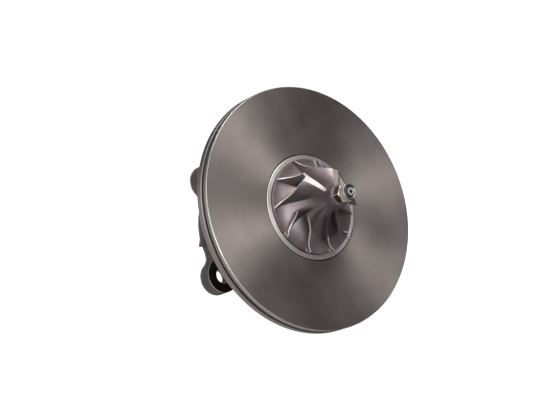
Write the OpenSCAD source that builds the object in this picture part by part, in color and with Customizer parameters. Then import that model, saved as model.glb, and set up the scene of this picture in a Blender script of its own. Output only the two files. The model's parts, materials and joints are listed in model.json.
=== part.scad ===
// Turbocharger cartridge: bearing housing with an integral compressor-side disc,
// and the rotor that turns in it. The shaft lies along Y and the compressor wheel
// faces -Y. The origin is on the shaft axis, in the front face of the disc.

/* [Bearing housing] */
// Diameter of the compressor-side disc
disc_d = 118.5; // [112:0.5:124]
// Thickness of the disc at its edge
disc_t = 7.8; // [7.2:0.1:8.4]
// Width of the seal groove round the edge of the disc
edge_groove_w = 2; // [1.6:0.1:2.4]
// Depth of the seal groove round the edge of the disc
edge_groove_depth = 1.9; // [1:0.1:2.4]
// Diameter of the waist between the disc and the turbine flange
waist_d = 46; // [44:0.5:50]
// Distance from the front of the disc to the front of the turbine flange
flange_z = 44; // [43.5:0.1:44.5]
// Thickness of the turbine flange
flange_t = 7.7; // [7.4:0.1:8.2]
// Diameter of the turbine flange between its lugs
flange_d = 61.4; // [60:0.2:62.2]
// Diameter of the spigot that centres the turbine housing
spigot_d = 52; // [50:0.5:53]

/* [Turbine flange lugs] */
// Number of lugs
lug_n = 4; // [3:1:4]
// Diameter of the circle through the bolt holes
lug_pcd = 67.2; // [66:0.2:69]
// Outer radius of a lug
lug_r = 8.5; // [7.8:0.1:9]
// Diameter of a bolt hole
lug_hole_d = 8; // [7:0.1:8.4]
// Angle of the first lug, from the horizontal
lug_turn = 16; // [0:0.5:40]

/* [Oil connections] */
// Height of the oil inlet face above the shaft
inlet_h = 34; // [32:0.5:38]
// Diameter of the oil inlet boss
inlet_d = 19; // [17:0.5:21]
// Diameter of the threaded oil inlet
inlet_hole_d = 9; // [8:0.1:10]
// Depth of the oil drain face below the shaft
drain_h = 36; // [34:0.5:40]
// Diameter of the oil drain
drain_d = 15; // [12:0.5:16]
// Distance between the two bolts of the drain flange
drain_bolt_span = 38; // [34:0.5:40]

/* [Compressor wheel] */
// Diameter of the wheel at the exit of its blades
wheel_d = 45.9; // [44.8:0.1:46.4]
// Diameter across the blade tips at the inlet
inducer_d = 32.2; // [31:0.1:33.6]
// Height of the full blades' inlet tips above the disc
inducer_z = 14.6; // [13.8:0.1:15.4]
// Height of the wheel's nose above the disc
nose_z = 22.3; // [21.8:0.1:22.8]
// Number of full blades, with as many splitter blades between them
wheel_blades = 5; // [4:1:6]
// Angle that the blades turn through evenly from inlet to exit
even_wrap = 24; // [20:1:28]
// Further angle that they turn through near the inlet
inlet_wrap = 25; // [18:1:30]
// Share of a full blade's length at which a splitter blade starts
splitter_start = 0.25; // [0.2:0.01:0.4]
// Angle of the exit of the first full blade
wheel_turn = 11; // [0:1:71]

/* [Turbine wheel] */
// Diameter of the turbine wheel at its inlet
turbine_d = 40.6; // [39:0.2:42]
// Diameter across the blade tips at the outlet
exducer_d = 31.6; // [30:0.2:34]
// Number of turbine blades
turbine_blades = 10; // [8:1:11]

/* [Shaft and bearings] */
// Diameter of the shaft in its bearings
journal_d = 8; // [7.6:0.1:8.2]
// Diameter of the shaft under the compressor wheel
stub_d = 5; // [4.6:0.1:5.4]
// Height of the shaft's end above the disc
shaft_end_z = 30.5; // [30:0.1:32]
// Length of a bearing bush
bush_l = 7; // [6:0.1:7.2]
// Outer diameter of a bearing bush
bush_d = 12.9; // [12.6:0.1:13.2]
// Radial clearance of a bush on the shaft and in the housing
oil_gap = 0.04; // [0.02:0.01:0.08]
// Width of the nut across its flats
nut_af = 8; // [7:0.5:8]

/* [Hidden] */

$fn = 96;
overlap = 0.02;
slip = 0.05;
// Length of cutters that pass right through
through = 40;

// Radii and depths of the housing, depths below the front of the disc
disc_r = disc_d / 2;
waist_r = waist_d / 2;
flange_r = flange_d / 2;
spigot_r = spigot_d / 2;
groove_z = (disc_t - edge_groove_w) * 0.39;
flange_back = flange_z + flange_t;
spigot_back = flange_back + 3.1;
spigot_chamfer = 0.6;
disc_front_chamfer = 0.4;
disc_back_chamfer = 0.4;
groove_chamfer = 0.4;
flange_chamfer = 0.4;
tab_h = 1.7;
tab_w = 4.8;
tab_l = 4.5;
bearing_bore_r = bush_d / 2 + oil_gap;
bush_z = [18.6, 38.4];
bearing_bore_l = 32;
mid_chamber_z = 28;
mid_chamber_l = 8;
seal_chamber_z = 47;
seal_chamber_r = 12;
circlip_t = 0.8;
circlip_gap = 0.2;
drain_z = 31;
inlet_z = 30;
gallery_h = 12.4;
gallery_r = 1.5;
gallery_back = bush_z[1] + bush_l / 2 + 1;
drain_neck_d = drain_d + 9;
drain_ear_r = 7;
drain_bolt_r = 3.3;
drain_flange_t = 7;
sump_top = 9;
sump_bottom = 18.5;
sump_w = 12;
sump_z = 13;
sump_l = 36;
inlet_thread_l = 13;
drain_thread_l = 8;

// Seal plate, thrust bearing and the parts between them
plate_r = 25.35;
plate_seat_r = plate_r + slip;
plate_gap_r = 25.9;
plate_gap_depth = 1;
plate_back = 8.5;
plate_recess_r = wheel_d / 2 + 0.35;
plate_recess_z = 1.4;
plate_bore_r = 7.5;
ring_groove_w = 1.4;
ring_t = 1.2;
ring_z = [3.2, 52.2];
ring_root_r = [6, 6.4];
o_ring_z = 4;
o_ring_w = 2.1;
o_ring_r = 23.9;
screw_n = 4;
screw_r = 20.6;
screw_thread_r = 1.25;
screw_head_r = 2.7;
screw_head_h = 1.5;
screw_l = 14;
thrust_r = 17;
thrust_z = 9.3;
thrust_back = 13.5;
thrust_bore_r = 5.7;
thrust_gap = 0.05;
deflector_t = 0.7;
pin_r = 1.5;
pin_place = 14;
pin_seat = 4;
pin_l = 8;
washer_r = 9;
shoulder_z = 15.6;
relief_z = [27, 37];
chamber_r = 10;
chamber_back = 17;

// Shaft and the seal at its turbine end
journal_r = journal_d / 2;
stub_r = stub_d / 2;
bore_r = stub_r + overlap;
seal_hub_r = 7.9;
seal_bore_r = 8;
seal_front = 50.5;
turbine_back = 58.8;

// Wheels
exit_r = wheel_d / 2;
rim_z = 0.5;
rim_chamfer = 0.3;
wheel_back = 0.7;
exit_h = 2.1;
inducer_sweep = 2.8;
hub_inlet_r = 5.4;
nose_r = 5.2;
turbine_r = turbine_d / 2;
turbine_rim = 1.5;
turbine_inlet_h = 5.2;
turbine_l = 13.2;
turbine_hub_r = 5.4;
turbine_wrap = 34;

// Nut
hex_h = 4.1;
hex_turn = 37;
hex_end_r = nut_af / 2 + 0.1;
collar_r = nut_af / 2;
collar_h = 3.5;

// Places local parts, built along +Z towards the compressor, in the part's frame
module along_shaft() { rotate([90, 0, 0]) children(); }

// Ring of height h whose front is at depth z
module ring(outer, inner, z, h) {
  translate([0, 0, -z - h]) difference() {
    cylinder(r = outer, h = h);
    translate([0, 0, -1]) cylinder(r = inner, h = h + 2);
  }
}

// Solid drum of height h whose front is at depth z
module drum(r, z, h) { translate([0, 0, -z - h]) cylinder(r = r, h = h); }

// Places of the seal plate's screws and of the thrust bearing's pins
module at_screws() {
  for (i = [0 : screw_n - 1]) rotate(45 + i * 360 / screw_n) translate([screw_r, 0, 0]) children();
}

module at_pins() {
  for (side = [0, 180]) rotate(side) translate([pin_place, 0, 0]) children();
}

// Bearing housing

function housing_profile() = [
  [0, 0], [disc_r - disc_front_chamfer, 0], [disc_r, -disc_front_chamfer],
  [disc_r, -groove_z], [disc_r - edge_groove_depth, -groove_z],
  [disc_r - edge_groove_depth, -groove_z - edge_groove_w],
  [disc_r - groove_chamfer, -groove_z - edge_groove_w], [disc_r, -groove_z - edge_groove_w - groove_chamfer],
  [disc_r, -disc_t + disc_back_chamfer], [disc_r - disc_back_chamfer, -disc_t], [disc_r - 8, -disc_t],
  [disc_r - 10, -disc_t - 1], [waist_r + 7, -disc_t - 4.5], [waist_r + 2, -disc_t - 7],
  [waist_r, -disc_t - 11], [waist_r, -flange_z + 10], [waist_r + 1.5, -flange_z + 5],
  [waist_r + 4.5, -flange_z + 0.01], [flange_r - flange_chamfer, -flange_z],
  [flange_r, -flange_z - flange_chamfer], [flange_r, -flange_back + flange_chamfer],
  [flange_r - flange_chamfer, -flange_back], [spigot_r, -flange_back],
  [spigot_r, -spigot_back + spigot_chamfer], [spigot_r - spigot_chamfer, -spigot_back], [0, -spigot_back]];

// Outline of one lug with the hollow fillets that run it into the flange
module lug_outline() {
  fillet = 5;
  reach = lug_pcd / 2;
  inner = flange_r - 2;
  away = flange_r + fillet;
  turn = acos((away ^ 2 + reach ^ 2 - (lug_r + fillet) ^ 2) / (2 * away * reach));
  translate([reach, 0]) circle(r = lug_r);
  for (side = [-1, 1]) difference() {
    corner = away * [cos(turn), side * sin(turn)];
    polygon([[inner, 0], [reach, 0], corner, [inner * cos(turn), side * inner * sin(turn)]]);
    translate(corner) circle(r = fillet - slip);
  }
}

module lugs() {
  for (i = [0 : lug_n - 1]) rotate(lug_turn + i * 360 / lug_n)
    translate([0, 0, -flange_back]) linear_extrude(flange_t) lug_outline();
}

module lug_holes() {
  for (i = [0 : lug_n - 1]) rotate(lug_turn + i * 360 / lug_n) translate([lug_pcd / 2, 0, 0])
    drum(lug_hole_d / 2, flange_z - 1, flange_t + 2);
}

// Cast tooth on the rim of the flange, which sets the turbine housing's angle
module flange_tab() {
  rotate(lug_turn + 150.5) translate([0, 0, -flange_back]) linear_extrude(tab_l)
    polygon([[flange_r - 2, 0], [flange_r - 0.8, -tab_w], [flange_r + tab_h, 0]]);
}

// Boss for the oil feed, upright on the waist
module inlet_boss() {
  translate([0, 0, -inlet_z]) rotate([-90, 0, 0]) {
    cylinder(d = inlet_d, h = inlet_h);
    cylinder(d1 = inlet_d + 10, d2 = inlet_d, h = inlet_h - 5);
  }
}

module drain_outline() {
  circle(d = drain_neck_d);
  for (side = [-1, 1]) translate([side * drain_bolt_span / 2, 0]) circle(r = drain_ear_r);
  translate([-drain_bolt_span / 2, -drain_ear_r]) square([drain_bolt_span, 2 * drain_ear_r]);
}

// Neck and flange for the oil drain, under the waist
module drain_flange() {
  translate([0, 0, -drain_z]) rotate([90, 0, 0]) {
    translate([0, 0, drain_h - drain_flange_t]) linear_extrude(drain_flange_t) drain_outline();
    cylinder(d = drain_neck_d, h = drain_h - drain_flange_t + 1);
  }
}

module housing_bores() {
  drum(plate_gap_r, -1, plate_gap_depth + 1);
  drum(plate_seat_r, -1, plate_back + 1);
  drum(thrust_r + slip, plate_back - 1, thrust_back - plate_back + 1);
  drum(chamber_r, thrust_back - 1, chamber_back - thrust_back + 1);
  drum(bearing_bore_r, chamber_back - 1, bearing_bore_l);
  drum(chamber_r, mid_chamber_z, mid_chamber_l);
  drum(seal_chamber_r, seal_chamber_z, seal_front - seal_chamber_z);
  drum(seal_bore_r, seal_front - 1, spigot_back - seal_front + 2);
  for (z = circlip_places()) drum(bearing_bore_r + 0.6, z - slip, circlip_t + 2 * slip);
  at_screws() translate([0, 0, -screw_l - 1]) cylinder(r = screw_thread_r, h = screw_l);
  at_pins() translate([0, 0, -thrust_back - pin_seat]) cylinder(r = pin_r, h = pin_seat + 1);
  lug_holes();
}

// Oil ways: inlet, axial gallery with a drilling to each bush, and the drain with its sump
module oil_ways() {
  translate([0, gallery_h, -inlet_z]) rotate([-90, 0, 0]) cylinder(r = 2, h = inlet_h);
  translate([0, inlet_h - inlet_thread_l, -inlet_z]) rotate([-90, 0, 0])
    cylinder(d = inlet_hole_d, h = inlet_thread_l + 1);
  translate([0, gallery_h, -gallery_back]) cylinder(r = gallery_r, h = gallery_back - thrust_back + 1);
  for (z = bush_z) translate([0, 0, -z - bush_l / 2]) rotate([-90, 0, 0]) cylinder(r = 1.1, h = gallery_h);
  translate([0, 1 - sump_bottom, -drain_z]) rotate([90, 0, 0]) cylinder(d = drain_d, h = drain_h);
  translate([-sump_w / 2, -sump_bottom, -sump_z - sump_l]) cube([sump_w, sump_bottom - sump_top, sump_l]);
  for (side = [-1, 1]) translate([side * drain_bolt_span / 2, -drain_h - 1, -drain_z]) rotate([-90, 0, 0])
    cylinder(r = drain_bolt_r, h = drain_thread_l + 1);
}

module bearing_housing() {
  color("dimgray") along_shaft() difference() {
    union() {
      rotate_extrude() polygon(housing_profile());
      lugs();
      flange_tab();
      inlet_boss();
      drain_flange();
    }
    housing_bores();
    oil_ways();
  }
}

// Parts fixed in the housing

module seal_plate() {
  color("lightgray") along_shaft() difference() {
    translate([0, 0, -plate_back]) rotate_extrude() polygon([
      [plate_bore_r, 0], [plate_r, 0], [plate_r, plate_back - 0.4], [plate_r - 0.4, plate_back],
      [plate_recess_r, plate_back], [plate_recess_r, plate_back - plate_recess_z],
      [plate_bore_r, plate_back - plate_recess_z]]);
    ring(plate_r + 1, o_ring_r, o_ring_z, o_ring_w);
    drum(washer_r + 0.8, plate_back - 1.9, 3);
    at_screws() {
      drum(screw_thread_r + 0.3, 0, plate_back + 1);
      translate([0, 0, -plate_recess_z - screw_head_h - 0.1]) cylinder(r = screw_head_r + 0.1, h = 4);
    }
  }
}

module seal_plate_o_ring() {
  play = 0.15;
  color("#1c1c1c") along_shaft()
    ring(plate_seat_r - overlap, o_ring_r + overlap, o_ring_z + play, o_ring_w - 2 * play);
}

module seal_plate_screws() {
  shank_z = plate_recess_z + screw_head_h;
  color("gray") along_shaft() at_screws() translate([0, 0, -shank_z]) difference() {
    union() {
      cylinder(r = screw_head_r, h = screw_head_h);
      translate([0, 0, shank_z - screw_l]) cylinder(r = screw_thread_r - overlap, h = screw_l - shank_z);
    }
    translate([0, 0, screw_head_h - 0.9]) cylinder(r = 1.3, h = 2, $fn = 6);
  }
}

module oil_deflector() {
  color("silver") along_shaft() difference() {
    ring(thrust_r, washer_r + 0.4, thrust_z - deflector_t, deflector_t);
    translate([-5, -thrust_r - 1, -thrust_z - 1]) cube([10, 5, 3]);
    at_pins() drum(pin_r + 0.1, 0, through);
  }
}

module thrust_bearing() {
  pads = 6;
  color("#b5894a") along_shaft() difference() {
    ring(thrust_r, thrust_bore_r, thrust_z, thrust_back - thrust_z);
    for (i = [0 : pads - 1]) rotate(i * 360 / pads + 30) {
      translate([thrust_bore_r - 1, -0.5, -thrust_z - 0.4]) cube([washer_r - thrust_bore_r - 0.2, 1, 2]);
      translate([thrust_bore_r - 1, -0.5, -thrust_back - 1]) cube([washer_r - thrust_bore_r - 0.2, 1, 1.4]);
    }
    translate([0, gallery_h, 0]) drum(gallery_r, thrust_back - 2.2, 3);
    translate([-5, -thrust_r - 1, -thrust_back - 1]) cube([10, 6, 6]);
    at_pins() drum(pin_r, 0, through);
  }
}

module thrust_bearing_pins() {
  color("gray") along_shaft() at_pins() drum(pin_r - overlap, thrust_z - deflector_t, pin_l);
}

// Split seal ring that grips a bore, its gap at the given angle
module piston_ring(outer, inner, z, gap_turn) {
  difference() {
    ring(outer, inner, z, ring_t);
    rotate(gap_turn) translate([inner - 1, -0.2, -z - 3]) cube([outer, 0.4, 6]);
  }
}

module compressor_piston_ring() {
  color("#4a4a4c") along_shaft() piston_ring(plate_bore_r - 0.01, ring_root_r[0] + 0.4, ring_z[0] + 0.1, 60);
}

module turbine_piston_ring() {
  color("#4a4a4c") along_shaft() piston_ring(seal_bore_r - 0.01, ring_root_r[1] + 0.3, ring_z[1] + 0.1, 240);
}

function circlip_places() = [for (z = bush_z) each [z - circlip_gap - circlip_t, z + bush_l + circlip_gap]];

module bearing_circlips() {
  opening = 3.2;
  color("#3b3b3d") along_shaft() for (z = circlip_places()) difference() {
    ring(bearing_bore_r + 0.55, journal_r + 1.4, z, circlip_t);
    translate([-opening / 2, 0, -z - circlip_t - 1]) cube([opening, 2 * bearing_bore_r, circlip_t + 2]);
  }
}

// Dished sheet that keeps the turbine's heat off the housing
module heat_shield() {
  t = 0.8;
  shape = [[spigot_r - 0.8, spigot_back], [20, spigot_back],
           [17, spigot_back + 1.5], [9.2, spigot_back + 1.9]];
  color("#8d8478") along_shaft() rotate_extrude()
    polygon([for (p = shape) [p.x, -p.y], for (i = [3 : -1 : 0]) [shape[i].x, -shape[i].y - t]]);
}

// Floating bushes

module bush(z) {
  difference() {
    ring(bush_d / 2, journal_r + oil_gap, z, bush_l);
    for (i = [0 : 5]) rotate(i * 60) translate([0, 0, -z - bush_l / 2]) rotate([0, 90, 0])
      cylinder(r = 0.9, h = bush_d);
  }
}

module compressor_journal_bush() { color("#b5894a") along_shaft() bush(bush_z[0]); }

module turbine_journal_bush() { color("#b5894a") along_shaft() bush(bush_z[1]); }

// Rotor

module rotor_shaft() {
  neck = 0.3;
  color("silver") along_shaft() difference() {
    rotate_extrude() polygon([
      [0, shaft_end_z], [stub_r - 0.8, shaft_end_z], [stub_r, shaft_end_z - 0.8], [stub_r, -shoulder_z],
      [journal_r - neck, -shoulder_z], [journal_r, -shoulder_z - neck],
      [journal_r, -relief_z[0]], [journal_r - neck, -relief_z[0] - 0.5],
      [journal_r - neck, -relief_z[1] + 0.5], [journal_r, -relief_z[1]],
      [journal_r, -seal_front + 2.5], [seal_hub_r - 0.6, -seal_front + 1.5], [seal_hub_r, -seal_front + 0.9],
      [seal_hub_r, -ring_z[1]], [ring_root_r[1], -ring_z[1]], [ring_root_r[1], -ring_z[1] - ring_groove_w],
      [seal_hub_r, -ring_z[1] - ring_groove_w], [seal_hub_r, -turbine_back + 1.3], [0, -turbine_back + 1.3]]);
    translate([0, 0, shaft_end_z - 1.4]) cylinder(r1 = 0.2, r2 = 0.9, h = 1.5);
  }
}

module thrust_collar() {
  color("silver") along_shaft() difference() {
    union() {
      drum(washer_r, thrust_back + thrust_gap, shoulder_z - thrust_back - thrust_gap);
      drum(thrust_bore_r - 0.3, thrust_z - thrust_gap, thrust_back - thrust_z + 1);
    }
    drum(bore_r, 0, through);
  }
}

module flinger_sleeve() {
  neck_r = plate_bore_r - 0.1;
  tall = thrust_z - thrust_gap - wheel_back;
  color("silver") along_shaft() difference() {
    translate([0, 0, -thrust_z + thrust_gap]) rotate_extrude() polygon([
      [bore_r, 0], [washer_r - 0.4, 0], [washer_r - 0.4, 1.6], [neck_r, 2.4], [neck_r, tall], [bore_r, tall]]);
    ring(washer_r, ring_root_r[0], ring_z[0], ring_groove_w);
  }
}

// Height and radius along the quarter ellipse from a wheel's axial end, s = 0, to its rim, s = 1
function meridian(s, axial_r, axial_z, rim_r, rim_h) =
  [axial_r + (rim_r - axial_r) * (1 - cos(90 * s)), rim_h + (axial_z - rim_h) * (1 - sin(90 * s))];

// Angle of a compressor blade's middle surface, which turns faster near the inlet
function camber(s) = -even_wrap * (1 - s) - inlet_wrap * (1 - s) ^ 5.5;

// Angle of a turbine blade's middle surface
function turbine_camber(s) = turbine_wrap * (1 - s) ^ 1.6;

// One blade between a hub curve and a contour curve, each [axial_r, axial_z, rim_r, rim_z].
// It starts at the fractions `start` of those curves on its two sides, so that a difference
// between them bevels the leading edge. `t` is its thickness at the hub and at the contour.
module blade(hub, contour, start, t, steps, rows, turbine = false) {
  function turn(s) = turbine ? turbine_camber(s) : camber(s);
  function on(curve, s) = meridian(s, curve[0], curve[1], curve[2], curve[3]);
  function mid(s, k) = on(hub, s) * (1 - k) + on(contour, s) * k;
  function slant(s, k) =
    (turn(s + 0.01) - turn(s)) * PI / 180 * mid(s, k).x / norm(mid(s + 0.01, k) - mid(s, k));
  function spot(i, j, side) =
    let (from = start[side > 0 ? 1 : 0], s = from + (1 - from) * (i / steps) ^ 1.3,
         k = j / rows, p = mid(s, k),
         width = (t[0] + (t[1] - t[0]) * k) * sqrt(1 + slant(min(s, 0.99), k) ^ 2),
         a = turn(s) + side * width / 2 / p.x * 180 / PI)
    [p.x * cos(a), p.x * sin(a), p.y];
  function at(i, j, side) = (side * (steps + 1) + i) * (rows + 1) + j;
  function split(a, b, c, d) = [[a, b, c], [a, c, d]];
  points = [for (side = [-1, 1], i = [0 : steps], j = [0 : rows]) spot(i, j, side)];
  sides = [for (i = [0 : steps - 1], j = [0 : rows - 1]) each concat(
    split(at(i, j, 0), at(i, j + 1, 0), at(i + 1, j + 1, 0), at(i + 1, j, 0)),
    split(at(i, j, 1), at(i + 1, j, 1), at(i + 1, j + 1, 1), at(i, j + 1, 1)))];
  ends = [for (j = [0 : rows - 1]) each concat(
    split(at(0, j, 0), at(0, j, 1), at(0, j + 1, 1), at(0, j + 1, 0)),
    split(at(steps, j, 0), at(steps, j + 1, 0), at(steps, j + 1, 1), at(steps, j, 1)))];
  edges = [for (i = [0 : steps - 1]) each concat(
    split(at(i, 0, 0), at(i + 1, 0, 0), at(i + 1, 0, 1), at(i, 0, 1)),
    split(at(i, rows, 0), at(i, rows, 1), at(i + 1, rows, 1), at(i + 1, rows, 0)))];
  polyhedron(points, concat(sides, ends, edges), convexity = 6);
}

// Outline of a hub: its back, its rim, a chamfer and the quarter ellipse up to its nose
function hub_outline(curve, back, rim, end_r, end_z) = concat(
  [[0, back], [rim[0], back], rim],
  [for (s = [1 : -0.05 : 0]) meridian(s, curve[0], curve[1], curve[2], curve[3])],
  [[curve[0], curve[1]], [end_r, end_z], [0, end_z]]);

module compressor_wheel() {
  root = 0.45;
  inlet_z = inducer_z + inducer_sweep;
  hub = [hub_inlet_r, inlet_z + 1.2, exit_r - rim_chamfer, rim_z + rim_chamfer];
  foot = [hub_inlet_r - root, inlet_z, exit_r - slip, rim_z - root];
  contour = [inducer_d / 2, inducer_z, exit_r - slip, rim_z + exit_h];
  bevel = 0.07;
  tip_t = 0.7;
  pitch = 360 / wheel_blades;
  color("#8f8790") along_shaft() rotate(wheel_turn) difference() {
    union() {
      rotate_extrude() polygon(hub_outline(hub, -wheel_back, [exit_r, rim_z], nose_r, nose_z));
      for (i = [0 : wheel_blades - 1]) rotate(i * pitch) {
        blade(foot, contour, [0, bevel], [1.5, tip_t], 15, 4);
        rotate(pitch / 2) blade(foot, contour, [1, 1.1] * splitter_start, [1.4, tip_t], 10, 4);
      }
    }
    translate([0, 0, -wheel_back - 1]) cylinder(r = bore_r, h = nose_z + wheel_back + 2);
  }
}

module compressor_nut() {
  color("#b0a284") along_shaft() translate([0, 0, nose_z]) difference() {
    union() {
      intersection() {
        rotate(hex_turn) cylinder(d = nut_af / cos(30), h = hex_h, $fn = 6);
        cylinder(r1 = hex_end_r + hex_h * 2, r2 = hex_end_r, h = hex_h);
      }
      cylinder(r = collar_r - slip, h = hex_h + collar_h);
    }
    translate([0, 0, -1]) cylinder(r = bore_r, h = hex_h + collar_h + 2);
    translate([0, 0, hex_h + collar_h - 0.5]) cylinder(r1 = bore_r, r2 = bore_r + 0.6, h = 0.6);
  }
}

module turbine_wheel() {
  root = 0.4;
  pitch = 360 / turbine_blades;
  scallop_r = 4.2;
  hub = [turbine_hub_r, turbine_l + 1, turbine_r - 1, turbine_rim];
  foot = [turbine_hub_r - root, turbine_l, turbine_r - slip, turbine_rim - root];
  contour = [exducer_d / 2, turbine_l, turbine_r - slip, turbine_rim + turbine_inlet_h];
  color("#6f6a66") along_shaft() translate([0, 0, -turbine_back]) mirror([0, 0, 1]) union() {
    difference() {
      rotate_extrude()
        polygon(hub_outline(hub, 0, [turbine_r, turbine_rim], turbine_hub_r - 1, turbine_l + 3));
      for (i = [0 : turbine_blades - 1]) rotate((i + 0.5) * pitch) translate([turbine_r + 0.5, 0, -1])
        cylinder(r = scallop_r, h = turbine_inlet_h);
    }
    translate([0, 0, -1.3]) cylinder(r = seal_hub_r - 0.5, h = 2);
    translate([0, 0, turbine_l + 2.5]) cylinder(d = 7, h = 3, $fn = 6);
    for (i = [0 : turbine_blades - 1]) rotate(i * pitch)
      blade(foot, contour, [0, 0], [1.8, 0.9], 12, 4, turbine = true);
  }
}

bearing_housing();
seal_plate();
seal_plate_o_ring();
seal_plate_screws();
oil_deflector();
thrust_bearing();
thrust_bearing_pins();
compressor_piston_ring();
turbine_piston_ring();
bearing_circlips();
heat_shield();
compressor_journal_bush();
turbine_journal_bush();
rotor_shaft();
thrust_collar();
flinger_sleeve();
compressor_wheel();
compressor_nut();
turbine_wheel();
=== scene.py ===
import json
import math
import bmesh
import bpy
from mathutils import Matrix, Vector


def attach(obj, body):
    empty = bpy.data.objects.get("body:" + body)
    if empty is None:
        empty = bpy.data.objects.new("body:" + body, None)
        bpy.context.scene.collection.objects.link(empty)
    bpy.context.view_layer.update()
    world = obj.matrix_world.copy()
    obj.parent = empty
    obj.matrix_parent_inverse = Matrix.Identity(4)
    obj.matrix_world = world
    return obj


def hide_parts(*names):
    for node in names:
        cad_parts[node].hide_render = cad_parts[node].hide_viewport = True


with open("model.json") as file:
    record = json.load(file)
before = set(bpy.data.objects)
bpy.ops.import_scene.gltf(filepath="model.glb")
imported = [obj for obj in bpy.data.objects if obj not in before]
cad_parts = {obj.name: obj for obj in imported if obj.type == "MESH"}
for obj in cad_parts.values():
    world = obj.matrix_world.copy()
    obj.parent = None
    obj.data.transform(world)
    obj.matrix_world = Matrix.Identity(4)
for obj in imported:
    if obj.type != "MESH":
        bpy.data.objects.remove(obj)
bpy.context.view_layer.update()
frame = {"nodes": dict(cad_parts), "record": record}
nodes = frame["nodes"]
print("frame loaded:", len(nodes), "nodes")

toRow = Matrix.Scale(0.001, 4) @ Matrix.Rotation(math.radians(90), 4, "X")  # from mm along +Z to the part's frame


# node trees, written as sums of sockets

class Wire:
    def __init__(self, tree, socket):
        self.tree = tree
        self.socket = socket

    def work(self, operation, *values):
        return add(self.tree, "ShaderNodeMath", dict(operation=operation), dict(enumerate(values)))

    def __add__(self, other): return self.work("ADD", self, other)
    def __radd__(self, other): return self.work("ADD", other, self)
    def __sub__(self, other): return self.work("SUBTRACT", self, other)
    def __rsub__(self, other): return self.work("SUBTRACT", other, self)
    def __mul__(self, other): return self.work("MULTIPLY", self, other)
    def __pow__(self, other): return self.work("POWER", self, other)
    def top(self, other): return self.work("MAXIMUM", self, other)
    def wave(self): return self.work("SINE", self)


# any node: its settings first, then values or links of its sockets
def add(tree, kind, settings=None, sockets=None, out=0):
    item = tree.nodes.new(kind)
    for key, value in (settings or {}).items():
        setattr(item, key, value)
    for key, value in (sockets or {}).items():
        if isinstance(value, Wire):
            tree.links.new(value.socket, item.inputs[key])
        elif value is not None:
            item.inputs[key].default_value = value
    return Wire(tree, item.outputs[out])


def colour(value):
    return (*value, 1) if isinstance(value, tuple) and len(value) == 3 else value


# soft step from 0 to 1
def smoothStep(tree, value, low, high):
    return add(tree, "ShaderNodeMapRange", dict(interpolation_type="SMOOTHSTEP"),
               {"Value": value, "From Min": low, "From Max": high})


# noise made to swing evenly about zero
def swing(noise, reach):
    return (noise - 0.5) * reach


# rays that show a thing to the camera, and rays that a shiny surface sends
def rayKinds(tree):
    path = tree.nodes.new("ShaderNodeLightPath")
    straight, through, mirrored = (
        Wire(tree, path.outputs[ray]) for ray in ("Is Camera Ray", "Is Transmission Ray", "Is Glossy Ray"))
    return straight.top(through), mirrored


class Finish:
    def __init__(self, name):
        self.material = bpy.data.materials.new(name)
        self.material.use_nodes = True
        self.tree = self.material.node_tree
        self.tree.nodes.clear()
        self.place = self.node("ShaderNodeTexCoord", out="Object")
        self.normal = self.node("ShaderNodeNewGeometry", out="Normal")
        split = self.tree.nodes.new("ShaderNodeSeparateXYZ")
        self.tree.links.new(self.place.socket, split.inputs[0])
        self.x, self.y, self.z = (Wire(self.tree, s) for s in split.outputs)
        self.radius = (self.x * self.x + self.z * self.z) ** 0.5
        self.angle = self.z.work("ARCTAN2", self.z, self.x)
        self.outward = self.vector("NORMALIZE", self.join(x=self.x, z=self.z))

    def node(self, kind, settings=None, sockets=None, out=0):
        return add(self.tree, kind, settings, sockets, out)

    def join(self, x=None, y=None, z=None):
        return self.node("ShaderNodeCombineXYZ", {}, {0: x, 1: y, 2: z})

    def vector(self, operation, one, two=None):
        return self.node("ShaderNodeVectorMath", dict(operation=operation), {0: one, 1: two})

    def noise(self, scale, detail=4, roughness=0.55, vector=None):
        return self.node("ShaderNodeTexNoise", {}, {
            "Vector": vector or self.place, "Scale": scale, "Detail": detail, "Roughness": roughness})

    # noise drawn out round the shaft, as a lathe leaves it
    def turnedNoise(self, along, around):
        ring = self.join(self.radius * along, self.angle * around, self.y * along)
        return self.noise(1.0, 3, 0.6, ring)

    def step(self, value, low, high):
        return smoothStep(self.tree, value, low, high)

    # 1 between a rise and a fall, each given by its start and end
    def band(self, value, rise, fall):
        return self.step(value, *rise) * (1 - self.step(value, *fall))

    def mix(self, share, one, two):
        return self.node("ShaderNodeMix", dict(data_type="RGBA"), {0: share, 6: colour(one), 7: colour(two)}, 2)

    def bump(self, height, depth, strength=1.0):
        return self.node("ShaderNodeBump", {}, {"Height": height, "Distance": depth, "Strength": strength})

    # lathe marks, too fine to see, lean a flat face across its rings and a drum along the shaft
    def lathed(self, normal, face, drum, wear):
        normals = []
        for lean, share in latheMarks["leans"]:
            across = self.node("ShaderNodeVectorMath", dict(operation="SCALE"),
                               {0: self.outward, "Scale": (lean + wear) * face})
            along = self.join(y=drum * (lean * latheMarks["onDrum"]))
            tip = self.vector("ADD", normal, self.vector("ADD", across, along))
            normals.append((share, self.vector("NORMALIZE", tip)))
        return normals

    # one surface, or several that share it, each with its own normal
    def close(self, shade, roughness, metallic, *normals):
        whole, total = None, 0
        for share, normal in normals:
            total += share
            layer = self.node("ShaderNodeBsdfPrincipled", {}, {
                "Base Color": colour(shade), "Roughness": roughness, "Metallic": metallic, "Normal": normal})
            whole = self.node("ShaderNodeMixShader", {}, {0: share / total, 1: whole, 2: layer}) if whole else layer
        self.tree.links.new(whole.socket, self.tree.nodes.new("ShaderNodeOutputMaterial").inputs["Surface"])
        return self.material


# camera and lamps

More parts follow.
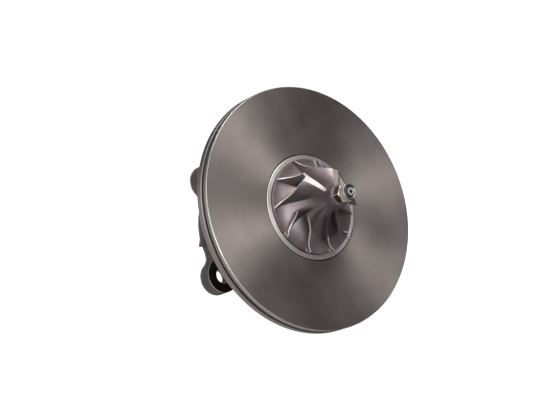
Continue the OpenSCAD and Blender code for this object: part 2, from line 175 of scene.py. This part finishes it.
camera = dict(place=(-0.51186, -0.62666, 0.08823), turn=(83.346, 29.412, -41.559), lens=110.983, sensor=36, near=0.01)
lamps = [
    dict(name="frontSoftbox", place=(-0.32, -1.10, 0.03), aim=(0, 0, 0), size=(0.50, 0.16), power=7.0),
    dict(name="topSoftbox", place=(0.32, -0.69, 0.80), aim=(0, 0, 0), size=(0.55, 0.50), power=7.5),
    dict(name="sideSoftbox", place=(-0.74, -0.82, 0.72), aim=(0, 0, 0), size=(0.8, 0.8), power=4.0),
    dict(name="backSoftbox", place=(0.28, 1.14, 0.19), aim=(0, 0.03, 0), size=(0.7, 0.3), power=6.0),
]

scene = bpy.context.scene
scene.view_settings.view_transform = "Standard"
cameraData = bpy.data.cameras.new("camera")
cameraData.lens = camera["lens"]
cameraData.sensor_width = camera["sensor"]
cameraData.sensor_fit = "HORIZONTAL"
cameraData.clip_start = camera["near"]
cameraObject = bpy.data.objects.new("camera", cameraData)
cameraObject.location = camera["place"]
cameraObject.rotation_euler = [math.radians(a) for a in camera["turn"]]
scene.collection.objects.link(cameraObject)
scene.camera = cameraObject

for lamp in lamps:
    data = bpy.data.lights.new(lamp["name"], "AREA")
    data.shape = "RECTANGLE"
    data.size, data.size_y = lamp["size"]
    data.energy = lamp["power"]
    item = bpy.data.objects.new(lamp["name"], data)
    item.location = lamp["place"]
    item.rotation_euler = (Vector(lamp["aim"]) - Vector(lamp["place"])).to_track_quat("-Z", "Y").to_euler()
    scene.collection.objects.link(item)


# white studio and floor

studio = dict(
    ambient=0.05, room=0.042, backdrop=0.62, facing=(-0.6, 0.75, -0.28), spread=(0.25, 0.8),
    floorZ=-0.0594, floorSize=6.0, floorGlow=1.0, floorTones=((0.82, 0.82, 0.82), (0.86, 0.86, 0.86)))
white = (1, 1, 1, 1)

world = bpy.data.worlds.new("studio")
world.use_nodes = True
scene.world = world
tree = world.node_tree
tree.nodes.clear()
seen, mirrored = rayKinds(tree)
direction = add(tree, "ShaderNodeTexCoord", out="Generated")
facing = add(tree, "ShaderNodeVectorMath", dict(operation="DOT_PRODUCT"), {0: direction, 1: studio["facing"]}, 1)
behind = smoothStep(tree, facing, *studio["spread"])
inMetal = studio["room"] + behind * (studio["backdrop"] - studio["room"])  # white paper behind, the room in front
level = seen + (1 - seen) * (mirrored * inMetal + (1 - mirrored) * studio["ambient"])
backdrop = add(tree, "ShaderNodeBackground", {}, {"Color": white, "Strength": level})
tree.links.new(backdrop.socket, tree.nodes.new("ShaderNodeOutputWorld").inputs["Surface"])


def makeFloor():
    bm = bmesh.new()
    bmesh.ops.create_grid(bm, x_segments=4, y_segments=4, size=studio["floorSize"] / 2)
    bmesh.ops.translate(bm, verts=bm.verts, vec=(0, 0, studio["floorZ"]))
    mesh = bpy.data.meshes.new("floor")
    bm.to_mesh(mesh)
    bm.free()
    floor = bpy.data.objects.new("floor", mesh)
    scene.collection.objects.link(floor)
    f = Finish("paleFloor")
    shown, _ = rayKinds(f.tree)
    glow = f.node("ShaderNodeEmission", {}, {"Color": white, "Strength": shown * studio["floorGlow"]})
    paper = f.node("ShaderNodeBsdfDiffuse", {}, {"Color": f.mix(f.noise(3.0), *studio["floorTones"])})
    both = f.node("ShaderNodeAddShader", {}, {0: glow, 1: paper})
    f.tree.links.new(both.socket, f.tree.nodes.new("ShaderNodeOutputMaterial").inputs["Surface"])
    mesh.materials.append(f.material)
    floor.visible_glossy = False


makeFloor()
print("studio ready")


# finishes

latheMarks = dict(  # slope and share of each lean, and how much of it a drum has
    leans=((-0.9, 0.05), (-0.6, 0.12), (-0.3, 0.2), (0, 0.26), (0.3, 0.2), (0.6, 0.12), (0.9, 0.05)), onDrum=0.25)
# the housing's edge colour is a painted highlight over rubbed corners, its near-black colour is painted shade, and
# its lug edge colour is a painted highlight
housingFinish = dict(
    face=((0.29, 0.25, 0.24), (0.37, 0.322, 0.312)), stain=(0.24, 0.185, 0.155), edge=(0.92, 0.88, 0.86),
    cast=((0.122, 0.099, 0.088), (0.214, 0.182, 0.166)), paintedShade=(0.018, 0.016, 0.015), lugEdge=(0.86, 0.77, 0.70),
    faceRough=0.40, edgeRough=0.3, castRough=0.62, castMetallic=0.4, turnedMetallic=0.55, grooveRubAndHighlight=0.12, lipShade=0.8,
    front=(0.0001, 0.0004), discEdge=(0.0560, 0.0564), turbineSide=(0.0505, 0.0508),
    discR=0.05925, chamfer=0.0004, groove=0.00426, gapR=0.0259, lugFront=0.0440)


def housingIron():
    look = housingFinish
    discR, chamfer, groove, gapR, lugFront = (look[k] for k in ("discR", "chamfer", "groove", "gapR", "lugFront"))
    f = Finish("housingIron")
    face = 1 - f.step(f.y, *look["front"])
    edge = f.step(f.radius, *look["discEdge"]) * (1 - face)  # lands and groove round the disc
    turned = face.top(edge).top(f.step(f.y, *look["turbineSide"]))
    plain = 1 - turned
    cloud = f.noise(42, 5)
    streak = f.turnedNoise(1700, 2.4)

    # turned faces; the corners of the disc and of its groove are rubbed, and painted brighter still as highlight
    # lines
    outer = f.step(f.radius, discR - chamfer * 1.2, discR - chamfer * 0.9)
    rear = f.band(f.y, (groove - 0.0001, groove), (groove + chamfer, groove + chamfer * 1.3))
    rubbedAndHighlit = outer * (1 - f.step(f.y, chamfer, chamfer * 1.3)) + outer * rear * look["grooveRubAndHighlight"]
    worked = f.mix(f.step(cloud * 0.8 + streak * 0.15, 0.25, 0.75), *look["face"])
    worked = f.mix(f.step(f.noise(95, 4), 0.62, 0.75) * 0.3, worked, look["stain"])
    worked = f.mix(rubbedAndHighlit, worked, look["edge"])

    # cast skin; the flange's front painted near black as shade, and a highlight painted just behind its corner,
    # broken up by noise
    cast = f.mix(f.noise(260, 6), *look["cast"])
    flangeFrontShade = f.band(f.y, (lugFront - 0.0002, lugFront - 0.0001), (lugFront + 0.00005, lugFront + 0.0001))
    cast = f.mix(flangeFrontShade, cast, look["paintedShade"])
    paintedLugHighlight = f.band(f.y, (lugFront + 0.0001, lugFront + 0.0003), (lugFront + 0.0005, lugFront + 0.0009))
    cast = f.mix(paintedLugHighlight * f.step(f.noise(500, 3), 0.3, 0.5), cast, look["lugEdge"])
    shade = f.mix(turned, cast, worked)

    # gap round the seal plate: turned wall, with painted shade on its floor and on the lip
    gapEdge = (gapR - 0.0001, gapR - 0.00005)
    lip = f.band(f.radius, gapEdge, (gapR + 0.00012, gapR + 0.00016))
    wall = lip * f.band(f.y, (0.00005, 0.0001), (0.00085, 0.00095))
    gapFloor = f.band(f.y, (0.0006, 0.0008), (0.0011, 0.0013)) * (1 - f.step(f.radius, *gapEdge))
    shade = f.mix(wall, shade, look["face"][1])
    shade = f.mix(gapFloor.top(lip * face * (1 - wall) * look["lipShade"]), shade, look["paintedShade"])

    grain = f.bump(f.noise(900, 5) * plain + f.noise(140, 4) * plain * 1.5, 0.0005, 0.6)
    wear = swing(f.noise(60, 3), 0.2) + swing(streak, 0.14) + swing(f.noise(1300, 2), 0.14)
    roughness = look["castRough"] + turned * (look["faceRough"] - look["castRough"]) + swing(cloud, 0.16)
    roughness = roughness + rubbedAndHighlit * (look["edgeRough"] - look["faceRough"])
    metallic = look["castMetallic"] + turned * look["turnedMetallic"]
    return f.close(shade, roughness, metallic, *f.lathed(grain, face, edge, wear))


turnedMarks = dict(pitch=0.0003, depth=0.00006)


def turnedSteel(name, one, two, rough, metallic=1.0):
    f = Finish(name)
    turns = math.tau / turnedMarks["pitch"]
    streak = f.turnedNoise(5200, 1.2)
    wave = (f.radius * turns).wave() + (f.y * turns).wave()
    shade = f.mix(f.step(streak * 0.7 + f.noise(160, 4) * 0.4, 0.3, 0.8), one, two)
    normal = f.bump(wave * 0.3 + streak, turnedMarks["depth"])
    return f.close(shade, rough + swing(f.noise(220, 4), 0.14), metallic, (1, normal))


# the plate's corner colour is a painted highlight over a rubbed edge; its gap colour is painted shade
plateFinish = dict(
    tones=((0.52, 0.470, 0.450), (0.66, 0.610, 0.590)), corner=(0.84, 0.80, 0.77), gap=(0.03, 0.027, 0.025),
    rough=0.42, metallic=0.82, front=(0.0001, 0.0003),
    cornerR=(0.02498, 0.02508), wallR=(0.0252, 0.0253), wallFrom=(0.00038, 0.00045))


# bright turned plate; its corner rubbed and painted brighter as a highlight line, its wall in the gap painted dark as
# shade
def sealPlate():
    look = plateFinish
    f = Finish("machinedPlate")
    streak = f.turnedNoise(2600, 2.0)
    shade = f.mix(f.step(streak * 0.5 + f.noise(120, 4) * 0.6, 0.3, 0.8), *look["tones"])
    shade = f.mix(f.step(f.radius, *look["cornerR"]), shade, look["corner"])
    shade = f.mix(f.step(f.radius, *look["wallR"]) * f.step(f.y, *look["wallFrom"]), shade, look["gap"])
    face = 1 - f.step(f.y, *look["front"])
    wear = swing(streak, 0.4) + swing(f.noise(110, 3), 0.4)
    roughness = look["rough"] + swing(f.noise(220, 4), 0.14)
    return f.close(shade, roughness, look["metallic"], *f.lathed(f.normal, face, 1 - face, wear))


# the shaft's hollow colour is painted shade in the centre hole
shaftFinish = dict(
    tones=((0.50, 0.46, 0.43), (0.64, 0.60, 0.57)), thread=(0.10, 0.10, 0.10), end=(0.78, 0.70, 0.64),
    hollow=(0.05, 0.045, 0.042), rough=0.38, metallic=0.7,
    threadTo=(-0.0224, -0.0222), endTo=(-0.03048, -0.03042), hollowR=(0.00085, 0.00092), pitch=0.0008, depth=0.0002)


# ground steel, with a thread and a centre-drilled end that is turned bright; the centre hole is painted dark as shade
def shaftSteel():
    look = shaftFinish
    f = Finish("shaftSteel")
    streak = f.turnedNoise(5200, 1.2)
    thread = 1 - f.step(f.y, *look["threadTo"])
    end = 1 - f.step(f.y, *look["endTo"])
    hollow = 1 - f.step(f.radius, *look["hollowR"])
    shade = f.mix(streak, *look["tones"])
    for share, tone in ((thread, "thread"), (end, "end"), (hollow * thread, "hollow")):
        shade = f.mix(share, shade, look[tone])
    crest = (f.y * (math.tau / look["pitch"])).wave() * thread * (1 - end)
    normal = f.bump(crest + streak * 0.1, look["depth"])
    return f.close(shade, look["rough"] + swing(f.noise(220, 4), 0.14), look["metallic"], (1, normal))


def castMetal(name, one, two, rough, grain, depth, metallic=0.95, stain=None):
    f = Finish(name)
    shade = f.mix(f.step(f.noise(75, 5), 0.3, 0.72), one, two)
    if stain:
        shade = f.mix(f.step(f.noise(110, 4), 0.48, 0.68) * 0.55, shade, stain)
    normal = f.bump(f.noise(grain, 5) + f.noise(grain * 0.3, 3) * 0.6, depth, 0.5)
    return f.close(shade, rough + swing(f.noise(180, 4), 0.18), metallic, (1, normal))


def sealRubber():
    f = Finish("sealRubber")
    shade = f.mix(f.noise(300, 4), (0.018, 0.018, 0.018), (0.035, 0.034, 0.033))
    return f.close(shade, 0.5 + f.noise(500, 4) * 0.2, 0.0, (1, f.bump(f.noise(1500, 4), 0.0001, 0.4)))


finishes = dict(
    housing_iron=housingIron(),
    machined_plate=sealPlate(),
    seal_rubber=sealRubber(),
    screw_steel=turnedSteel("screwSteel", (0.16, 0.16, 0.165), (0.25, 0.25, 0.255), 0.4),
    sheet_steel=turnedSteel("sheetSteel", (0.50, 0.50, 0.50), (0.60, 0.60, 0.59), 0.38),
    bearing_bronze=turnedSteel("bearingBronze", (0.55, 0.38, 0.18), (0.68, 0.50, 0.26), 0.32),
    ring_iron=turnedSteel("ringIron", (0.22, 0.22, 0.225), (0.32, 0.32, 0.32), 0.36),
    shield_steel=castMetal(
        "shieldSteel", (0.36, 0.33, 0.29), (0.48, 0.45, 0.41), 0.4, 1500, 0.0001, stain=(0.24, 0.19, 0.16)),
    shaft_steel=shaftSteel(),
    wheel_aluminium=castMetal(
        "wheelCast", (0.235, 0.194, 0.209), (0.36, 0.303, 0.319), 0.46, 900, 0.00012,
        metallic=0.88, stain=(0.25, 0.165, 0.12)),
    nut_steel=turnedSteel("nutPlating", (0.58, 0.525, 0.445), (0.74, 0.685, 0.60), 0.4, metallic=0.7),
    turbine_alloy=castMetal(
        "turbineAlloy", (0.26, 0.245, 0.235), (0.40, 0.38, 0.365), 0.52, 800, 0.0002, stain=(0.24, 0.17, 0.14)),
)
for entry in frame["record"]["subparts"]:
    slots = nodes[entry["node"]].data.materials
    slots.clear()
    slots.append(finishes[entry["material_slot"]])

# further finishes on faces of the wheels and the nut
wheelBright = turnedSteel("wheelTurned", (0.76, 0.73, 0.70), (0.91, 0.88, 0.85), 0.36, metallic=0.6)
wheelFacet = castMetal("wheelFacet", (0.42, 0.379, 0.372), (0.52, 0.474, 0.466), 0.37, 1500, 0.00005)
turbineGround = turnedSteel("turbineGround", (0.40, 0.385, 0.37), (0.54, 0.525, 0.505), 0.4)
nutEnd = turnedSteel("nutEnd", (0.27, 0.275, 0.278), (0.40, 0.40, 0.398), 0.42)
# the nut's flats: dark colour painted as the reflection they show
paintedFlatReflection = castMetal("paintedFlatReflection", (0.075, 0.06, 0.045), (0.14, 0.115, 0.088), 0.4, 1500, 0.00005)
print("finishes ready:", len(finishes))


# tools for the pieces made here, in mm along the shaft

def turnBy(bm, degrees):
    spin = Matrix.Rotation(math.radians(degrees), 3, "Z")
    bmesh.ops.rotate(bm, verts=bm.verts, cent=(0, 0, 0), matrix=spin)


def repeat(bm, count):
    bmesh.ops.spin(bm, geom=bm.verts[:] + bm.edges[:] + bm.faces[:], cent=(0, 0, 0), axis=(0, 0, 1),
                   angle=math.tau * (count - 1) / count, steps=count - 1, use_duplicate=True)
    return bm


# closed outline of (radius, height) turned round the shaft
def turnOutline(points, segments):
    bm = bmesh.new()
    ring = [bm.verts.new((r, 0, z)) for r, z in points]
    edges = [bm.edges.new((ring[i], ring[(i + 1) % len(ring)])) for i in range(len(ring))]
    bmesh.ops.spin(bm, geom=ring + edges, cent=(0, 0, 0), axis=(0, 0, 1), angle=math.tau, steps=segments,
                   use_merge=True)
    bmesh.ops.remove_doubles(bm, verts=bm.verts, dist=0.0005)
    bmesh.ops.recalc_face_normals(bm, faces=bm.faces)
    return bm


# moves a vertex along its own radius
def setRadius(v, now, wanted):
    v.co.x *= wanted / now
    v.co.y *= wanted / now


def joinShapes(shapes):
    whole = bmesh.new()
    for bm in shapes:
        part = bpy.data.meshes.new("part")
        bm.to_mesh(part)
        bm.free()
        whole.from_mesh(part)
        bpy.data.meshes.remove(part)
    return whole


def makePiece(name, bm, materials, body, replaced, sharp=32):
    for face in bm.faces:
        face.smooth = True
    for edge in bm.edges:
        pair = edge.link_faces
        sameFinish = len(pair) == 2 and pair[0].material_index == pair[1].material_index
        edge.smooth = sameFinish and edge.calc_face_angle(0) < math.radians(sharp)
    bmesh.ops.transform(bm, matrix=toRow, verts=bm.verts)
    mesh = bpy.data.meshes.new(name)
    bm.to_mesh(mesh)
    bm.free()
    for material in materials:
        mesh.materials.append(material)
    piece = bpy.data.objects.new(name, mesh)
    scene.collection.objects.link(piece)
    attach(piece, body)
    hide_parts(replaced)


# bladed wheels

compressorWheel = dict(
    exitR=22.95, rimZ=0.5, rimChamfer=0.3, back=-0.7, exitH=2.1, inletR=16.1, inletZ=14.6, sweep=2.8, hubR=5.4,
    hubOver=1.2, noseR=5.2, noseZ=22.3, noseBreak=0.25, boreR=2.52, root=0.45, bladeCount=5, turn=11, segments=144,
    evenWrap=24, inletWrap=25, inletPower=5.5, bevel=0.062, bevelRoot=0.22, lead=0.017, rootT=1.15, tipT=0.54,
    fillet=0.9, steps=44, rows=18, splitterStart=0.25, splitterBevel=(1.045, 0.055))
turbineWheel = dict(
    exitR=20.3, rimZ=1.5, rimIn=1, back=0.0, exitH=5.2, inletR=15.8, inletZ=13.2, hubR=5.4, hubOver=1, noseR=4.4,
    noseZ=16.2, stubR=7.4, stubZ=-1.3, root=0.4, bladeCount=10, segments=200, wrap=34, wrapPower=1.6, rootT=1.4,
    tipT=0.8, fillet=1.2, steps=36, rows=16, place=-58.8, scallop=4.2, scallopOut=0.5, scallopFrom=12, hexR=3.5,
    hexTop=18.7, hexSunk=1, hexBreak=0.25)
bladeSlip = 0.05  # blades end this far inside the rim
nearEnd = 0.499  # in a block from -0.5 to 0.5


def onEllipse(s, curve):
    axialR, axialZ, rimR, rimZ = curve
    a = math.pi / 2 * s
    return Vector((axialR + (rimR - axialR) * (1 - math.cos(a)), rimZ + (axialZ - rimZ) * (1 - math.sin(a))))


# curve of the blades' foot inside the hub and of their outer contour
def bladeCurves(w, inletZ):
    foot = (w["hubR"] - w["root"], inletZ, w["exitR"] - bladeSlip, w["rimZ"] - w["root"])
    contour = (w["inletR"], w["inletZ"], w["exitR"] - bladeSlip, w["rimZ"] + w["exitH"])
    return foot, contour


def hubCurve(hub, count=40):
    return [tuple(onEllipse(1 - i / count, hub)) for i in range(count + 1)]


# a block in (length, height, side) that is bent into a blade
def makeBlade(shape, curves, camber, starts, edgeSlot=0):
    hub, foot, contour = curves
    bm = bmesh.new()
    bmesh.ops.create_grid(bm, x_segments=shape["steps"], y_segments=shape["rows"], size=0.5)
    bmesh.ops.solidify(bm, geom=bm.faces[:], thickness=1.0)
    bm.verts.ensure_lookup_table()
    for face in bm.faces:
        across = [abs(v.co.z) > 0.5 for v in face.verts]
        if any(across) and not all(across):  # turned contour and exit, ground leading edge
            onContour = all(v.co.y > nearEnd for v in face.verts)
            onExit = all(v.co.x > nearEnd for v in face.verts)
            onLead = all(v.co.x < -nearEnd for v in face.verts)
            face.material_index = 1 if onContour or onExit else edgeSlot if onLead else 0

    def middle(s, k):
        return onEllipse(s, foot).lerp(onEllipse(s, contour), k)

    for v in bm.verts:
        side = 1 if abs(v.co.z) > 0.5 else -1
        k = (v.co.y + 0.5) ** 1.5  # rows lie closer at the root, steps at the leading edge
        start = starts[side > 0](k)
        s = start + (1 - start) * (v.co.x + 0.5) ** 1.3
        at = min(s, 0.99)
        p = middle(s, k)
        run = (middle(at + 0.01, k) - middle(at, k)).length
        slant = math.radians(camber(at + 0.01) - camber(at)) * p.x / run
        span = onEllipse(s, contour) - onEllipse(s, foot)
        height = (k - (onEllipse(s, hub) - onEllipse(s, foot)).dot(span) / span.length_squared) * span.length
        room = shape["fillet"]
        rest = min(max(room - height, 0), room)
        flare = room - math.sqrt(max(room * room - rest * rest, 0))
        width = (shape["rootT"] + (shape["tipT"] - shape["rootT"]) * k) * math.sqrt(1 + slant * slant) + 2 * flare
        a = math.radians(camber(s)) + side * width / 2 / p.x
        v.co = (p.x * math.cos(a), p.x * math.sin(a), p.y)
    bmesh.ops.recalc_face_normals(bm, faces=bm.faces)
    return bm


def makeCompressorWheel():
    w = compressorWheel
    inletZ = w["inletZ"] + w["sweep"]
    hub = (w["hubR"], inletZ + w["hubOver"], w["exitR"] - w["rimChamfer"], w["rimZ"] + w["rimChamfer"])
    curves = (hub, *bladeCurves(w, inletZ))

    def camber(s):
        return -w["evenWrap"] * (1 - s) - w["inletWrap"] * (1 - s) ** w["inletPower"]

    # where the two sides of a blade start, by its height: the ground edge widens from root to tip
    def fullLead(k): return w["lead"] * k
    def fullTrail(k): return w["bevel"] * (w["bevelRoot"] + (1 - w["bevelRoot"]) * k)
    def splitLead(k): return w["splitterStart"]
    def splitTrail(k): return w["splitterStart"] * (w["splitterBevel"][0] + w["splitterBevel"][1] * k)

    outline = [(w["boreR"], w["back"]), (w["exitR"], w["back"]), (w["exitR"], w["rimZ"])] + hubCurve(hub)
    outline += [(w["noseR"], w["noseZ"] - w["noseBreak"]), (w["noseR"] - w["noseBreak"], w["noseZ"])]
    outline += [(w["boreR"], w["noseZ"])]
    full = makeBlade(w, curves, camber, (fullLead, fullTrail), 2)
    splitter = makeBlade(w, curves, camber, (splitLead, splitTrail))
    turnBy(splitter, 180 / w["bladeCount"])
    wheel = joinShapes([
        turnOutline(outline, w["segments"]), repeat(full, w["bladeCount"]), repeat(splitter, w["bladeCount"])])
    turnBy(wheel, w["turn"])
    makePiece("compressorWheel", wheel, [finishes["wheel_aluminium"], wheelBright, wheelFacet],
              "rotor", "compressor_wheel")


# cuts round hollows into the hub's rim, one between each two blades
def scallopRim(bm, w):
    pitch = math.tau / w["bladeCount"]
    centreR = w["exitR"] + w["scallopOut"]
    for v in bm.verts:
        r = math.hypot(v.co.x, v.co.y)
        if r > w["scallopFrom"]:
            off = ((math.atan2(v.co.y, v.co.x) / pitch) % 1 - 0.5) * pitch
            across = centreR * math.sin(off)
            reach = centreR * math.cos(off) - math.sqrt(max(w["scallop"] ** 2 - across ** 2, 0))
            if abs(across) < w["scallop"] and r > reach:
                setRadius(v, r, reach)
    bmesh.ops.remove_doubles(bm, verts=bm.verts, dist=0.05)
    bmesh.ops.dissolve_degenerate(bm, edges=bm.edges, dist=0.01)
    bmesh.ops.recalc_face_normals(bm, faces=bm.faces)


def makeTurbineWheel():
    w = turbineWheel
    hub = (w["hubR"], w["inletZ"] + w["hubOver"], w["exitR"] - w["rimIn"], w["rimZ"])
    outline = [(0, w["stubZ"]), (w["stubR"], w["stubZ"]), (w["stubR"], w["back"]), (w["exitR"], w["back"])]
    outline += [(w["exitR"], w["rimZ"])] + hubCurve(hub) + [(w["noseR"], w["noseZ"]), (0, w["noseZ"])]
    hubShape = turnOutline(outline, w["segments"])
    scallopRim(hubShape, w)

    def camber(s): return w["wrap"] * (1 - s) ** w["wrapPower"]
    def start(k): return 0

    blade = makeBlade(w, (hub, *bladeCurves(w, w["inletZ"])), camber, (start, start))
    head = bmesh.new()
    headBase = w["noseZ"] - w["hexSunk"]
    bmesh.ops.create_cone(head, cap_ends=True, segments=6, radius1=w["hexR"], radius2=w["hexR"],
                          depth=w["hexTop"] - headBase)
    bmesh.ops.bevel(head, geom=head.edges[:], offset=w["hexBreak"], affect="EDGES", segments=2, profile=0.5,
                    material=-1)
    bmesh.ops.translate(head, verts=head.verts, vec=(0, 0, (w["hexTop"] + headBase) / 2))
    wheel = joinShapes([hubShape, repeat(blade, w["bladeCount"]), head])
    toTurbine = Matrix.Translation((0, 0, w["place"])) @ Matrix.Scale(-1, 4, (0, 0, 1))  # faces away from the disc
    bmesh.ops.transform(wheel, matrix=toTurbine, verts=wheel.verts)
    bmesh.ops.reverse_faces(wheel, faces=wheel.faces)
    makePiece("turbineWheel", wheel, [finishes["turbine_alloy"], turbineGround],
              "rotor", "turbine_wheel")


makeCompressorWheel()
makeTurbineWheel()
print("wheels made")


# nut on the shaft's end

shaftNut = dict(
    base=22.3, flats=8.0, hexTop=26.4, turn=37, endR=4.15, collarR=3.95, collarTop=29.9, boreR=2.52, rim=0.35,
    sink=0.75, foot=0.3, shoulder=0.2, endIn=0.1, cone=32, brightCorner=2.6, lap=1, segments=144, collarSegments=96)


# angle from the nearest of the six corners
def fromCorner(co):
    return (math.atan2(co.y, co.x) + math.radians(30)) % math.radians(60) - math.radians(30)


# a turned blank whose side is then cut to six flats, with the cone of its chamfer left at the corners
def makeHexagon(n):
    half = n["flats"] / 2
    corner = half / math.cos(math.radians(30))
    endR = n["endR"] - n["endIn"]
    bm = turnOutline([
        (n["boreR"], n["base"]), (corner, n["base"]), (corner, n["base"] + n["foot"]),
        (corner, n["hexTop"] - n["shoulder"]), (endR, n["hexTop"]), (n["boreR"], n["hexTop"])], n["segments"])
    for v in bm.verts:
        r = math.hypot(v.co.x, v.co.y)
        if r > corner - 0.01:
            flat = half / math.cos(math.radians(30) - abs(fromCorner(v.co)))
            setRadius(v, r, flat)
            if v.co.z > n["base"] + 1:
                v.co.z = n["hexTop"] - (flat - endR) * math.tan(math.radians(n["cone"]))
    bm.normal_update()
    for face in bm.faces:  # flats painted dark as the dark reflection they show; near the corners they keep the plating's colour
        middle = face.calc_center_median()
        onFlat = abs(face.normal.z) < 0.2 and middle.z > n["base"] + n["foot"]
        face.material_index = 2 if onFlat and abs(math.degrees(fromCorner(middle))) > n["brightCorner"] else 0
    turnBy(bm, n["turn"])
    return bm


def makeNut():
    n = shaftNut
    low, rimZ, top = n["hexTop"] - n["lap"], n["collarTop"] - n["rim"], n["collarTop"]
    collar = turnOutline([
        (n["boreR"], low), (n["collarR"], low), (n["collarR"], rimZ), (n["collarR"] - n["rim"], top),
        (n["boreR"] + n["sink"], top), (n["boreR"], top - n["sink"])], n["collarSegments"])
    for face in collar.faces:  # the turned end is bare steel
        face.material_index = 1 if face.calc_center_median().z > rimZ + 0.01 or face.normal.z > 0.3 else 0
    makePiece("compressorNut", joinShapes([makeHexagon(n), collar]), [finishes["nut_steel"], nutEnd, paintedFlatReflection],
              "rotor", "compressor_nut", 20)


makeNut()
print("nut made")
